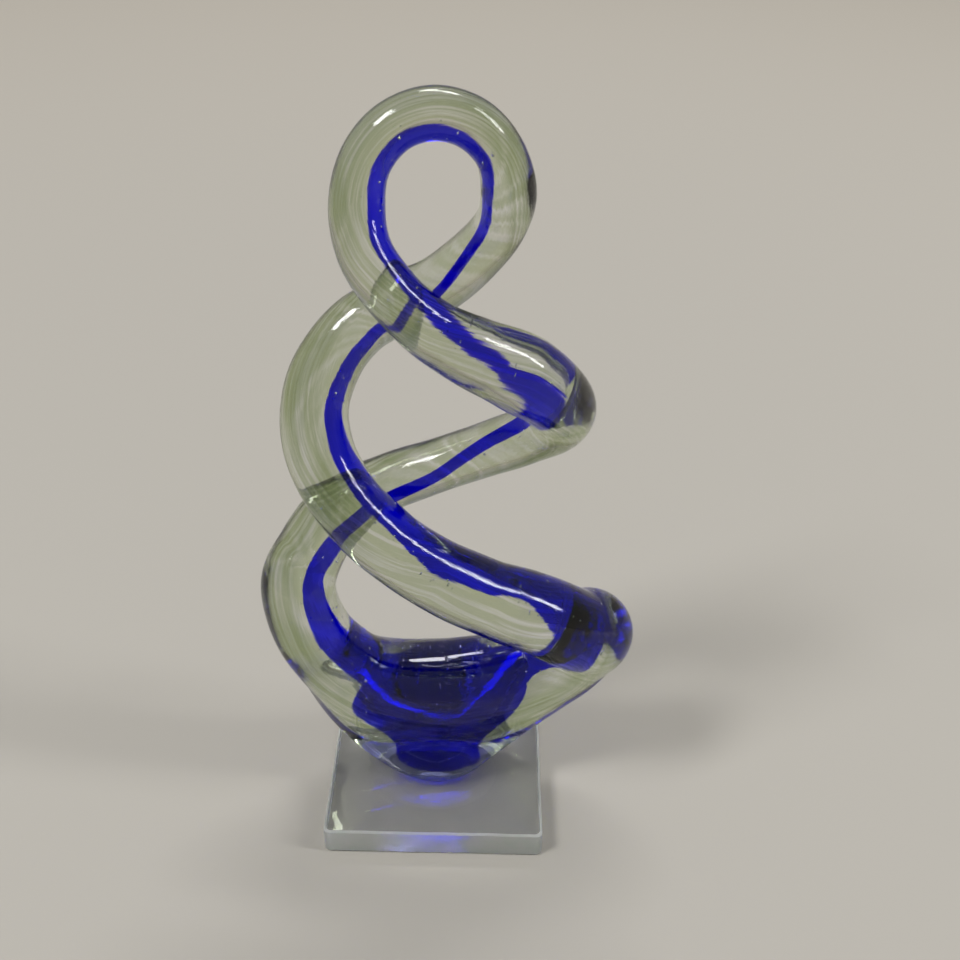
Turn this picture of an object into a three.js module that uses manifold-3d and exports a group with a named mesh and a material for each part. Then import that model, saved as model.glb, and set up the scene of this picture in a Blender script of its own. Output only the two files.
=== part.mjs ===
// Glass spiral sculpture: one glass rope, folded at its crown and wound into a left-handed double
// helix whose two ends run together into a foot. A cobalt core runs inside the clear rope, on its
// inner side, and spreads to a fan in the foot. The foot is ground flat and bonded to a glass plate.
// Millimetres, +Z up, seen from the front along +Y. The origin is the centre of the plate's underside.
import * as THREE from 'three';
import { mergeVertices } from 'three/addons/utils/BufferGeometryUtils.js';
import Module from 'manifold-3d';

// Plate
const PLATE_WIDTH = 90;
const PLATE_DEPTH = 94;
const PLATE_THICKNESS = 12;
const PLATE_CORNER_RADIUS = 2.5;
const PLATE_BEVEL = 0.8;

// Bond between plate and foot
const FILM_THICKNESS = 0.4;
const FILM_INSET = 1;

// Foot: a ground disc that widens upwards to a flat web between the rope's two arms. A side of the web
// is fuller below, the lower its power is.
const FOOT_RADIUS = 22.5;
const FOOT_SETBACK = 3;
const WEB_HEIGHT = 48;
const WEB_LEFT_REACH = 57;
const WEB_LEFT_POWER = 0.6;
const WEB_RIGHT_REACH = 61;
const WEB_RIGHT_POWER = 1;
const WEB_HALF_DEPTH = 15;

// The rope's centreline. The crown's height is measured up from the middle of the top eye, and the
// other heights from the foot's ground face.
const CROWN_HEIGHT = 27.5;
const CROWN_TURN = 22;
const TOP_EYE_HEIGHT = 252;
const TOP_EYE_REACH = 24.5;
const UPPER_CROSSING_HEIGHT = 213;
const UPPER_CROSSING_REACH = 35;
const UPPER_FLANK_REACH = 31;
const MIDDLE_EYE_HEIGHT = 174;
const MIDDLE_LEFT_REACH = 43.5;
const MIDDLE_RIGHT_REACH = 46;
const LOWER_CROSSING_REACH = 52;
const LOWER_CROSSING_BACK_HEIGHT = 137;
const LOWER_CROSSING_FRONT_HEIGHT = 111.5;
const LEFT_ARM_HEIGHT = 91;
const LEFT_ARM_REACH = 55.2;
const RIGHT_ARM_HEIGHT = 69;
const RIGHT_ARM_REACH = 62.5;
const SADDLE_HEIGHT = 36.5;
const CROSSING_DEPTH = 18;
const LEFT_ARM_SWING = -5;
const RIGHT_ARM_SWING = 4;

// How far up from the upper crossing to the top eye its flanks bulge most
const FLANK_SHARE = 0.64;

// How far the winding hangs above an even fall, or below it: in front on its way to the right side, on
// the upper and the lower winding, and where it turns from the back to the left side
const UPPER_FRONT_LIFT = 2;
const LOWER_FRONT_LIFT = -2;
const LEFT_TURN_LIFT = 6;

// The rope's radius, which grows from the crown to the foot
const ROPE_AT_CROWN = 8.5;
const ROPE_AT_TOP_EYE = 9.3;
const ROPE_AT_FLANK = 9.3;
const ROPE_AT_UPPER_CROSSING = 10.6;
const ROPE_AT_UPPER_FRONT = 14;
const ROPE_AT_MIDDLE_LEFT = 12.5;
const ROPE_AT_MIDDLE_RIGHT = 12.4;
const ROPE_AT_LOWER_BACK = 10.7;
const ROPE_AT_LOWER_FRONT = 14;
const ROPE_AT_LEFT_ARM = 14.8;
const ROPE_AT_RIGHT_TURN = 16;
const ROPE_AT_RIGHT_ARM = 17;
const ROPE_AT_SADDLE = 17;

// The core's radius, the clear glass that covers it on the rope's inner side, which is thicker at
// some places, and the gap that is left between core and casing
const CORE_AT_TOP_LEFT = 2.4;
const CORE_AT_TOP_RIGHT = 1.7;
const CORE_AT_UPPER_CROSSING = 1.6;
const CORE_AT_UPPER_FRONT = 1.3;
const CORE_AT_MIDDLE_LEFT = 2.3;
const CORE_AT_MIDDLE_RIGHT = 2.7;
const CORE_AT_LOWER_BACK = 2;
const CORE_AT_LOWER_FRONT = 4.4;
const CORE_AT_LEFT_ARM = 2.9;
const CORE_AT_RIGHT_TURN = 4.4;
const CORE_AT_RIGHT_ARM = 6.5;
const CORE_AT_SADDLE = 5.5;
const CORE_COVER = 2.3;
const COVER_AT_MIDDLE_LEFT = 5.3;
const COVER_AT_LEFT_ARM = 7.8;
const COVER_AT_SADDLE = 8.5;
const CORE_CLEARANCE = 0.3;

// How far above its own height the core faces the axis, on the upper winding
const CORE_RISE_AT_CROSSING = -1;
const CORE_RISE_AT_FRONT = 6;
const CORE_RISE_AT_RIGHT = 38;

// The share of a bend's own radius that the rope's inner side may fill before it flattens
const BEND_FILL = 0.85;

// The core's fan in the foot
const FAN_FOOT_RADIUS = 16;
const FAN_HEIGHT = 40;
const FAN_LEFT_REACH = 36;
const FAN_RIGHT_REACH = 38;
const FAN_POWER = 3;
const FAN_HALF_DEPTH = 9;

// Fineness of the facets
const ROPE_RINGS = 108;
const ROPE_SIDES = 14;
const CORE_SIDES = 10;
const WEB_RINGS = 6;
const WEB_SIDES = 28;
const PLATE_CORNER_STEPS = 4;
const WINDING_STEP = 22.5;
const ARC_SAMPLES = 2000;
const MERGE_DISTANCE = 1e-4;

const FOOT_LEVEL = PLATE_THICKNESS + FILM_THICKNESS;

// The fold at the crown is turned about the axis, so its sides already lean forwards and backwards
const TOP_EYE_SWING = TOP_EYE_REACH / Math.cos(THREE.MathUtils.degToRad(CROWN_TURN));
const CROWN_LEAN = CROSSING_DEPTH * Math.sin(THREE.MathUtils.degToRad(CROWN_TURN));

const wasm = await Module();
wasm.setup();

// Booleans

function solidFrom(geometry) {
  const bare = geometry.clone();
  bare.deleteAttribute('normal');
  bare.deleteAttribute('uv');
  const merged = mergeVertices(bare, MERGE_DISTANCE);
  return new wasm.Manifold(new wasm.Mesh({
    numProp: 3,
    vertProperties: new Float32Array(merged.attributes.position.array),
    triVerts: new Uint32Array(merged.index.array),
  }));
}

function geometryFrom(solid) {
  const mesh = solid.getMesh();
  const geometry = new THREE.BufferGeometry();
  geometry.setAttribute('position', new THREE.BufferAttribute(mesh.vertProperties, 3));
  geometry.setIndex(new THREE.BufferAttribute(mesh.triVerts, 1));
  geometry.computeVertexNormals();
  return geometry;
}

// A skin over rings of equally many points, capped at both ends
function skin(rings) {
  const sides = rings[0].length;
  const points = rings.flat();
  const index = [];
  const last = (rings.length - 1) * sides;
  for (let ring = 0; ring < rings.length - 1; ring += 1) {
    for (let side = 0; side < sides; side += 1) {
      const turn = (side + 1) % sides;
      const here = ring * sides + side;
      const beside = ring * sides + turn;
      const above = here + sides;
      const across = beside + sides;
      index.push(here, beside, across, here, across, above);
    }
  }
  for (let side = 1; side < sides - 1; side += 1) {
    index.push(0, side + 1, side);
    index.push(last, last + side, last + side + 1);
  }
  const geometry = new THREE.BufferGeometry();
  geometry.setFromPoints(points);
  geometry.setIndex(index);
  return geometry;
}

// Route of the rope

// A place on the route, with the radii of rope and core there, how far up the core faces and how
// thick its cover is
function station(x, y, z, rope, core, rise, cover) {
  return {
    place: new THREE.Vector3(x, y, z),
    section: new THREE.Vector3(rope, core, cover),
    facing: new THREE.Vector3(0, 0, rise),
  };
}

// One strand from the top eye down to its arm. Each row gives, at a phase of the winding, the reach
// from the axis, the height, the radii of rope and core, how far up the core faces and how thick its
// cover is. Phase 0 is left, 90 front, 180 right.
function strand(rows) {
  const phases = rows.map((row) => row[0]);
  const values = rows.flatMap((row) => row.slice(1));
  const blend = new THREE.CubicInterpolant(phases, values, rows[0].length - 1);
  const stations = [];
  const steps = Math.round((phases.at(-1) - phases[0]) / WINDING_STEP);
  for (let step = 0; step <= steps; step += 1) {
    const phase = THREE.MathUtils.lerp(phases[0], phases.at(-1), step / steps);
    const [reach, height, rope, core, rise, cover] = blend.evaluate(phase);
    const angle = THREE.MathUtils.degToRad(phase);
    const x = -reach * Math.cos(angle);
    const y = -CROSSING_DEPTH * Math.sin(angle);
    stations.push(station(x, y, height, rope, core, rise, cover));
  }
  return stations;
}

// The row halfway between two others, but for its lift and what it gives itself
function rowBetween(phase, upper, lower, lift, own = {}) {
  const middle = upper.slice(1).map((value, at) => (value + lower[at + 1]) / 2);
  const [reach, height, rope, core, rise, cover] = middle;
  return [phase, reach, height + lift, own.rope ?? rope, own.core ?? core, own.rise ?? rise, cover];
}

// One side of the top eye, and the flank below it
function eyeAndFlank(phase, core) {
  const flankHeight = THREE.MathUtils.lerp(UPPER_CROSSING_HEIGHT, TOP_EYE_HEIGHT, FLANK_SHARE);
  return [
    [phase + CROWN_TURN, TOP_EYE_SWING, TOP_EYE_HEIGHT, ROPE_AT_TOP_EYE, core, 0, CORE_COVER],
    [phase + 45, UPPER_FLANK_REACH, flankHeight, ROPE_AT_FLANK, core, 0, CORE_COVER],
  ];
}

// The upper crossing, where one strand is in front and the other behind
function upperCrossing(phase, rise) {
  return [phase, UPPER_CROSSING_REACH, UPPER_CROSSING_HEIGHT, ROPE_AT_UPPER_CROSSING, CORE_AT_UPPER_CROSSING,
    rise, CORE_COVER];
}

function leftStrand() {
  const front = upperCrossing(90, CORE_RISE_AT_CROSSING);
  const right = [180, MIDDLE_RIGHT_REACH, MIDDLE_EYE_HEIGHT, ROPE_AT_MIDDLE_RIGHT, CORE_AT_MIDDLE_RIGHT,
    CORE_RISE_AT_RIGHT, CORE_COVER];
  const back = [270, LOWER_CROSSING_REACH, LOWER_CROSSING_BACK_HEIGHT, ROPE_AT_LOWER_BACK,
    CORE_AT_LOWER_BACK, 0, CORE_COVER];
  const arm = [360, LEFT_ARM_REACH, LEFT_ARM_HEIGHT, ROPE_AT_LEFT_ARM, CORE_AT_LEFT_ARM, 0,
    COVER_AT_LEFT_ARM];
  const swell = rowBetween(135, front, right, UPPER_FRONT_LIFT, {
    rope: ROPE_AT_UPPER_FRONT, core: CORE_AT_UPPER_FRONT, rise: CORE_RISE_AT_FRONT,
  });
  const turn = rowBetween(315, back, arm, LEFT_TURN_LIFT);
  return strand([...eyeAndFlank(0, CORE_AT_TOP_LEFT), front, swell, right, back, turn, arm]);
}

function rightStrand() {
  const back = upperCrossing(270, 0);
  const left = [360, MIDDLE_LEFT_REACH, MIDDLE_EYE_HEIGHT, ROPE_AT_MIDDLE_LEFT, CORE_AT_MIDDLE_LEFT, 0,
    COVER_AT_MIDDLE_LEFT];
  const front = [450, LOWER_CROSSING_REACH, LOWER_CROSSING_FRONT_HEIGHT, ROPE_AT_LOWER_FRONT,
    CORE_AT_LOWER_FRONT, 0, CORE_COVER];
  const arm = [540, RIGHT_ARM_REACH, RIGHT_ARM_HEIGHT, ROPE_AT_RIGHT_ARM, CORE_AT_RIGHT_ARM, 0,
    CORE_COVER];
  const turn = rowBetween(315, back, left, LEFT_TURN_LIFT);
  const swell = rowBetween(495, front, arm, LOWER_FRONT_LIFT, {
    rope: ROPE_AT_RIGHT_TURN, core: CORE_AT_RIGHT_TURN,
  });
  return strand([...eyeAndFlank(180, CORE_AT_TOP_RIGHT), back, turn, left, front, swell, arm]);
}

// The fold at the crown: a half ellipse from the right side of the top eye to its left side, which
// comes forwards evenly on the way
function crown() {
  return [30, 60, 90, 120, 150].map((degrees) => {
    const angle = THREE.MathUtils.degToRad(degrees);
    const x = TOP_EYE_REACH * Math.cos(angle);
    const y = CROWN_LEAN * (1 - degrees / 90);
    const z = TOP_EYE_HEIGHT + CROWN_HEIGHT * Math.sin(angle);
    const core = THREE.MathUtils.lerp(CORE_AT_TOP_RIGHT, CORE_AT_TOP_LEFT, degrees / 180);
    return station(x, y, z, ROPE_AT_CROWN, core, 0, CORE_COVER);
  });
}

// The bend in the foot: a half ellipse from the left arm through the saddle to the right arm. Each
// arm swings on the way it was winding, the left one forwards and the right one backwards.
function saddle() {
  const left = {
    reach: LEFT_ARM_REACH, height: LEFT_ARM_HEIGHT, swing: LEFT_ARM_SWING,
    rope: ROPE_AT_LEFT_ARM, core: CORE_AT_LEFT_ARM, cover: COVER_AT_LEFT_ARM,
  };
  const right = {
    reach: RIGHT_ARM_REACH, height: RIGHT_ARM_HEIGHT, swing: RIGHT_ARM_SWING,
    rope: ROPE_AT_RIGHT_ARM, core: CORE_AT_RIGHT_ARM, cover: CORE_COVER,
  };
  return [30, 60, 90, 120, 150].map((degrees) => {
    const angle = THREE.MathUtils.degToRad(degrees);
    const arm = degrees < 90 ? left : right;
    const share = Math.sin(angle);
    const x = -arm.reach * Math.cos(angle);
    const y = FOOT_SETBACK * share + arm.swing * Math.abs(Math.sin(2 * angle));
    const z = THREE.MathUtils.lerp(arm.height, SADDLE_HEIGHT, share);
    const rope = THREE.MathUtils.lerp(arm.rope, ROPE_AT_SADDLE, share);
    const core = THREE.MathUtils.lerp(arm.core, CORE_AT_SADDLE, share);
    const cover = THREE.MathUtils.lerp(arm.cover, COVER_AT_SADDLE, share);
    return station(x, y, z, rope, core, 0, cover);
  });
}

// How far a ring can reach along its bend before it meets the plane of a neighbouring ring
function roomBefore(neighbour, ring) {
  const gap = neighbour.place.clone().sub(ring.place).dot(neighbour.tangent);
  const room = gap / ring.bend.dot(neighbour.tangent);
  return room > 0 ? room : Infinity;
}

// Rings along the closed route. Each has its place, the direction along the route, the direction
// across to the knot's inner side, the direction beside that, the radii of rope and core, the core's
// cover, and the direction of the bend with the room on that side.
function ringsAlongRoute() {
  const stations = [...crown(), ...leftStrand(), ...saddle(), ...rightStrand().reverse()];
  const path = new THREE.CatmullRomCurve3(stations.map((item) => item.place), true);
  const sections = new THREE.CatmullRomCurve3(stations.map((item) => item.section), true, 'catmullrom');
  const facings = new THREE.CatmullRomCurve3(stations.map((item) => item.facing), true, 'catmullrom');
  path.arcLengthDivisions = ARC_SAMPLES;
  const rings = Array.from({ length: ROPE_RINGS }, (_, ring) => {
    const along = path.getUtoTmapping(ring / ROPE_RINGS);
    const place = path.getPoint(along);
    const tangent = path.getTangent(along);
    const { x: rope, y: core, z: cover } = sections.getPoint(along);
    const faced = place.z + facings.getPoint(along).z;
    const heartHeight = THREE.MathUtils.clamp(faced, LOWER_CROSSING_FRONT_HEIGHT, TOP_EYE_HEIGHT);
    const heart = new THREE.Vector3(0, 0, heartHeight);
    const inward = heart.sub(place).projectOnPlane(tangent).normalize();
    const beside = new THREE.Vector3().crossVectors(tangent, inward);
    return { place, tangent, inward, beside, rope, core, cover };
  });
  rings.forEach((ring, index) => {
    const behind = rings.at(index - 1);
    const ahead = rings[(index + 1) % ROPE_RINGS];
    const turn = ahead.tangent.clone().sub(behind.tangent);
    ring.bend = turn.projectOnPlane(ring.tangent).normalize();
    ring.room = Math.min(roomBefore(behind, ring), roomBefore(ahead, ring));
  });
  return rings;
}

// A closed tube along the route, joined from two runs that meet at the right arm's tight turn, where
// the rope folds back on itself
function tube(rings, sides, sectionAt) {
  const loops = rings.map((ring) => {
    const { radius, offset, cover } = sectionAt(ring);
    const most = BEND_FILL * ring.room - cover;
    return Array.from({ length: sides }, (_, side) => {
      const angle = (2 * Math.PI * side) / sides;
      const reach = new THREE.Vector3()
        .addScaledVector(ring.inward, offset + radius * Math.cos(angle))
        .addScaledVector(ring.beside, radius * Math.sin(angle));
      const excess = Math.max(0, reach.dot(ring.bend) - most);
      return reach.addScaledVector(ring.bend, -excess).add(ring.place);
    });
  });
  const reaches = rings.map((ring) => ring.place.x);
  const turn = reaches.indexOf(Math.max(...reaches));
  const crownToTurn = solidFrom(skin(loops.slice(0, turn + 1)));
  const turnToCrown = solidFrom(skin([...loops.slice(turn), loops[0]]));
  return crownToTurn.add(turnToCrown);
}

// A foot that is round below and spreads to a flat oval above, as a web between two arms
function spread({ height, footRadius, leftReach, leftPower, rightReach, rightPower, halfDepth }) {
  const loops = Array.from({ length: WEB_RINGS }, (_, ring) => {
    const share = ring / (WEB_RINGS - 1);
    const ease = Math.sin((share * Math.PI) / 2);
    const left = THREE.MathUtils.lerp(footRadius, leftReach, ease ** leftPower);
    const right = THREE.MathUtils.lerp(footRadius, rightReach, ease ** rightPower);
    const depth = THREE.MathUtils.lerp(footRadius, halfDepth, share);
    return Array.from({ length: WEB_SIDES }, (_, side) => {
      const angle = (2 * Math.PI * side) / WEB_SIDES;
      const across = Math.cos(angle);
      const x = across * (across < 0 ? left : right);
      const y = FOOT_SETBACK + depth * Math.sin(angle);
      return new THREE.Vector3(x, y, height * share);
    });
  });
  return solidFrom(skin(loops));
}

const rings = ringsAlongRoute();

function coreSolid(gap) {
  const ribbon = tube(rings, CORE_SIDES, (ring) => ({
    radius: ring.core + gap,
    offset: ring.rope - ring.cover - ring.core,
    cover: ring.cover - gap,
  }));
  const fan = spread({
    height: FAN_HEIGHT + gap,
    footRadius: FAN_FOOT_RADIUS + gap,
    leftReach: FAN_LEFT_REACH + gap,
    leftPower: FAN_POWER,
    rightReach: FAN_RIGHT_REACH + gap,
    rightPower: FAN_POWER,
    halfDepth: FAN_HALF_DEPTH + gap,
  });
  return ribbon.add(fan);
}

function casingSolid() {
  const rope = tube(rings, ROPE_SIDES, (ring) => ({ radius: ring.rope, offset: 0, cover: 0 }));
  const web = spread({
    height: WEB_HEIGHT,
    footRadius: FOOT_RADIUS,
    leftReach: WEB_LEFT_REACH,
    leftPower: WEB_LEFT_POWER,
    rightReach: WEB_RIGHT_REACH,
    rightPower: WEB_RIGHT_POWER,
    halfDepth: WEB_HALF_DEPTH,
  });
  return rope.add(web).subtract(coreSolid(CORE_CLEARANCE));
}

function plateGeometry() {
  const halfWidth = PLATE_WIDTH / 2;
  const halfDepth = PLATE_DEPTH / 2;
  const corner = PLATE_CORNER_RADIUS;
  const outline = new THREE.Shape();
  outline.absarc(halfWidth - corner, halfDepth - corner, corner, 0, Math.PI / 2);
  outline.absarc(corner - halfWidth, halfDepth - corner, corner, Math.PI / 2, Math.PI);
  outline.absarc(corner - halfWidth, corner - halfDepth, corner, Math.PI, 1.5 * Math.PI);
  outline.absarc(halfWidth - corner, corner - halfDepth, corner, 1.5 * Math.PI, 2 * Math.PI);
  const plate = new THREE.ExtrudeGeometry(outline, {
    depth: PLATE_THICKNESS - 2 * PLATE_BEVEL,
    curveSegments: PLATE_CORNER_STEPS,
    bevelSegments: 1,
    bevelSize: PLATE_BEVEL,
    bevelThickness: PLATE_BEVEL,
    bevelOffset: -PLATE_BEVEL,
  });
  return plate.translate(0, 0, PLATE_BEVEL);
}

function filmGeometry() {
  const radius = FOOT_RADIUS - FILM_INSET;
  const film = new THREE.CylinderGeometry(radius, radius, FILM_THICKNESS, WEB_SIDES);
  return film.rotateX(Math.PI / 2);
}

function piece(name, geometry, colour, roughness) {
  const material = new THREE.MeshStandardMaterial({ color: colour, roughness, metalness: 0 });
  const mesh = new THREE.Mesh(geometry, material);
  mesh.name = name;
  return mesh;
}

const group = new THREE.Group();
group.add(piece('base_plate', plateGeometry(), 0xd5e0dc, 0.08));

const film = piece('bond_film', filmGeometry(), 0xe8ebe6, 0.3);
film.position.set(0, FOOT_SETBACK, PLATE_THICKNESS + FILM_THICKNESS / 2);
group.add(film);

const knot = new THREE.Group();
knot.position.z = FOOT_LEVEL;
knot.add(piece('clear_casing', geometryFrom(casingSolid()), 0xdde6e2, 0.04));
knot.add(piece('cobalt_core', geometryFrom(coreSolid(0)), 0x0505b4, 0.1));
group.add(knot);

export default group;
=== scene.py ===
# Glass spiral sculpture: the fine glass surfaces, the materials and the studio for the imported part.
# Metres, in the part's own frame: +Z up, seen from the front along +Y, with the origin under the plate.
import math
import random

import bmesh
import bpy
import numpy as np
from mathutils import Matrix, Vector


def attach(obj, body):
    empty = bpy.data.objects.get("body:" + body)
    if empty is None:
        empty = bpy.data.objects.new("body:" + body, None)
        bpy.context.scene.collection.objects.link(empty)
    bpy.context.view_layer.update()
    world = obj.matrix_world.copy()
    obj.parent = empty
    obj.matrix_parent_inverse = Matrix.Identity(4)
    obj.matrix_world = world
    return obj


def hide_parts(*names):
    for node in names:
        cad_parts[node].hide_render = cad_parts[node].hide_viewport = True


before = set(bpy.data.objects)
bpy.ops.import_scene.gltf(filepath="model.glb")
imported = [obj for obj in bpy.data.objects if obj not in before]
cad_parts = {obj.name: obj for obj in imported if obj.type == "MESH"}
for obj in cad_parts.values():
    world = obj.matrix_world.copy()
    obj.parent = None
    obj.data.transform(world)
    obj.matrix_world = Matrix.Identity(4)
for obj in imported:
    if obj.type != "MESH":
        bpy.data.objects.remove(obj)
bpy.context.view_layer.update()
MM = 0.001

# Plate
PLATE_WIDTH = 90 * MM
PLATE_DEPTH = 94 * MM
PLATE_THICKNESS = 12 * MM
PLATE_CORNER_RADIUS = 2.5 * MM
PLATE_BEVEL = 0.8 * MM
PLATE_WOBBLE = 0.25 * MM
PLATE_CORNER_STEPS = 6
PLATE_SIDE_STEPS = 30
PLATE_SHARP_ANGLE = math.radians(25)
PLATE_QUARTERS = ((1, 1), (-1, 1), (-1, -1), (1, -1))

# Waves that grinding left round the plate: their number, shift, shift per metre of height, and share
PLATE_WAVES = ((7, 1, 0, 0.5), (17, 0, 400, 0.3), (31, 0, 0, 0.2))

# Bond between plate and foot
FILM_THICKNESS = 0.4 * MM
CONTACT_RADIUS = 20.5 * MM
FILM_STEPS = 96
CONTACT_GAP = 0.02 * MM

# Waves round the film's rim: their number, shift and share of the radius
FILM_WAVES = ((5, 1, 0.012), (11, 0, 0.008))

# Foot and web
FOOT_LEVEL = PLATE_THICKNESS + FILM_THICKNESS
FOOT_RADIUS = 22.5 * MM
FOOT_SETBACK = 3 * MM
WEB_HEIGHT = 48 * MM
WEB_LEFT_REACH = 57 * MM
WEB_LEFT_POWER = 0.6
WEB_RIGHT_REACH = 61 * MM
WEB_RIGHT_POWER = 1
WEB_HALF_DEPTH = 15 * MM

# The rope's centreline. The crown's height is measured up from the middle of the top eye, and the
# other heights from the foot's ground face.
CROWN_HEIGHT = 27.5 * MM
CROWN_TURN = 22
TOP_EYE_HEIGHT = 252 * MM
TOP_EYE_REACH = 24.5 * MM
UPPER_CROSSING_HEIGHT = 213 * MM
UPPER_CROSSING_REACH = 35 * MM
UPPER_FLANK_REACH = 31 * MM
MIDDLE_EYE_HEIGHT = 174 * MM
MIDDLE_LEFT_REACH = 43.5 * MM
MIDDLE_RIGHT_REACH = 46 * MM
LOWER_CROSSING_REACH = 52 * MM
LOWER_CROSSING_BACK_HEIGHT = 137 * MM
LOWER_CROSSING_FRONT_HEIGHT = 111.5 * MM
LEFT_ARM_HEIGHT = 91 * MM
LEFT_ARM_REACH = 55.2 * MM
RIGHT_ARM_HEIGHT = 69 * MM
RIGHT_ARM_REACH = 62.5 * MM
SADDLE_HEIGHT = 36.5 * MM
CROSSING_DEPTH = 18 * MM
LEFT_ARM_SWING = -5 * MM
RIGHT_ARM_SWING = 4 * MM
FLANK_SHARE = 0.64
UPPER_FRONT_LIFT = 2 * MM
LOWER_FRONT_LIFT = -2 * MM
LEFT_TURN_LIFT = 6 * MM

# The rope's radius
ROPE_AT_CROWN = 8.5 * MM
ROPE_AT_TOP_EYE = 9.3 * MM
ROPE_AT_FLANK = 9.3 * MM
ROPE_AT_UPPER_CROSSING = 10.6 * MM
ROPE_AT_UPPER_FRONT = 14 * MM
ROPE_AT_MIDDLE_LEFT = 12.5 * MM
ROPE_AT_MIDDLE_RIGHT = 12.4 * MM
ROPE_AT_LOWER_BACK = 10.7 * MM
ROPE_AT_LOWER_FRONT = 14 * MM
ROPE_AT_LEFT_ARM = 14.8 * MM
ROPE_AT_RIGHT_TURN = 16 * MM
ROPE_AT_RIGHT_ARM = 17 * MM
ROPE_AT_SADDLE = 17 * MM

# The core's radius, and the clear glass that covers it on the rope's inner side
CORE_AT_TOP_LEFT = 2.4 * MM
CORE_AT_TOP_RIGHT = 1.7 * MM
CORE_AT_UPPER_CROSSING = 1.6 * MM
CORE_AT_UPPER_FRONT = 1.3 * MM
CORE_AT_MIDDLE_LEFT = 2.3 * MM
CORE_AT_MIDDLE_RIGHT = 2.7 * MM
CORE_AT_LOWER_BACK = 2 * MM
CORE_AT_LOWER_FRONT = 4.4 * MM
CORE_AT_LEFT_ARM = 2.9 * MM
CORE_AT_RIGHT_TURN = 4.4 * MM
CORE_AT_RIGHT_ARM = 6.5 * MM
CORE_AT_SADDLE = 5.5 * MM
CORE_COVER = 2.3 * MM
COVER_AT_MIDDLE_LEFT = 5.3 * MM
COVER_AT_LEFT_ARM = 7.8 * MM
COVER_AT_SADDLE = 8.5 * MM

# How far above its own height the core faces the axis, on the upper winding
CORE_RISE_AT_CROSSING = -1 * MM
CORE_RISE_AT_FRONT = 6 * MM
CORE_RISE_AT_RIGHT = 38 * MM

# The core's fan in the foot, which ends in clear glass a little above the ground face
FAN_FOOT_RADIUS = 16 * MM
FAN_HEIGHT = 40 * MM
FAN_LEFT_REACH = 36 * MM
FAN_RIGHT_REACH = 38 * MM
FAN_POWER = 3
FAN_HALF_DEPTH = 9 * MM
FAN_LIFT = 1 * MM

# How the forms melt into each other
WEB_MELT = 12 * MM
WEB_ROUNDING = 16 * MM
FAN_MELT = 10 * MM
FAN_ROUNDING = 8 * MM
FOLD_MELT = 2.5 * MM
FOLD_REACH = 60 * MM
LEAST_MELT = 0.01 * MM
RIM_ROUNDING = 1.6 * MM

# Slow swelling of the hand-drawn rope: waves along the whole route, and the share of the radius
SWELL_WAVES = (23, 37)
SWELL_SHARES = (0.007, 0.005)

# Seed bubbles in the clear glass over the core. The higher the rarity, the fewer are large. The cover
# is the least depth under the rope's surface, in radii.
BUBBLE_SEED = 7
BUBBLE_COUNT = 420
BUBBLE_RADII = (0.15 * MM, 0.42 * MM)
BUBBLE_RARITY = 3
BUBBLE_DEPTHS = (0.3 * MM, 1.5 * MM)
BUBBLE_COVER = 2
BUBBLE_STRETCH = (1.0, 1.8)
BUBBLE_SUBDIVISIONS = 2

# Fineness, with angles in degrees
WINDING_STEP = 22.5
HALF_ELLIPSE_ANGLES = (30, 60, 90, 120, 150)
STEPS_PER_STATION = 24
CASING_PITCH = 1.5 * MM
CORE_PITCH = 0.9 * MM
CHUNK = 4000
NEAREST_ROUNDS = 3
LEAST_RATE = 0.3
SLOPE_STEP = 0.02 * MM
SETTLE_ROUNDS = 5

# Margins of the grid, in steps of the grid: round the knot, below the foot and round each sample
GRID_MARGIN = 4
GRID_BELOW = 3.5
FILL_MARGIN = 3

# Glass. A pair for lines, blotches and the like is a noise's scale and detail, a bump is its strength
# and distance, and a noise span is the part of a noise that is used.
WHITE = (1, 1, 1)
NOISE_MIDDLE = (0.35, 0.65)
CLEAR_IOR = 1.5
BONDED_IOR = 1.0

# Clear glass. The inner side runs from where the rope starts to turn inwards to where it is palest.
# The olive tint is a painted reflection of green surroundings. It fades to the near-clear streak colour in
# streaks and on the inner side, over the core.
CLEAR_PAINTED_REFLECTION = (0.42, 0.5, 0.28)
CLEAR_STREAK = (0.95, 0.96, 0.94)
CLEAR_LINES = (3.0, 4.0)
CLEAR_LINE_STRETCH = (0.5, 3, 3)
CLEAR_BUMP = (0.3, 0.25 * MM)
INNER_SIDE = (0.0, 0.35)
STREAK_NOISE = (0.45, 0.75)
SMUDGES = (45.0, 4.0)
SMUDGE_NOISE = (0.5, 0.75)
SMUDGE_ROUGHNESS = 0.035
DRAW_LENGTH = 60 * MM
GROUND_HEIGHT = 5 * MM
GROUND_ROUGHNESS = 0.45
# Painted shade: a blue-grey tint on the bonded faces that darkens the view down through the foot
BOND_PAINTED_SHADE_TINTS = ((0.42, 0.42, 0.7), (0.55, 0.55, 0.85))
BOND_SHADE_BLOTCHES = (180.0, 3.0)

# Cobalt glass
COBALT_COLOUR = (0.15, 0.0, 0.997)
COBALT_DENSITY = 2200
COBALT_STREAK = (0.9, 0.9, 1.0)
COBALT_LINES = (5.0, 4.0)

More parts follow.
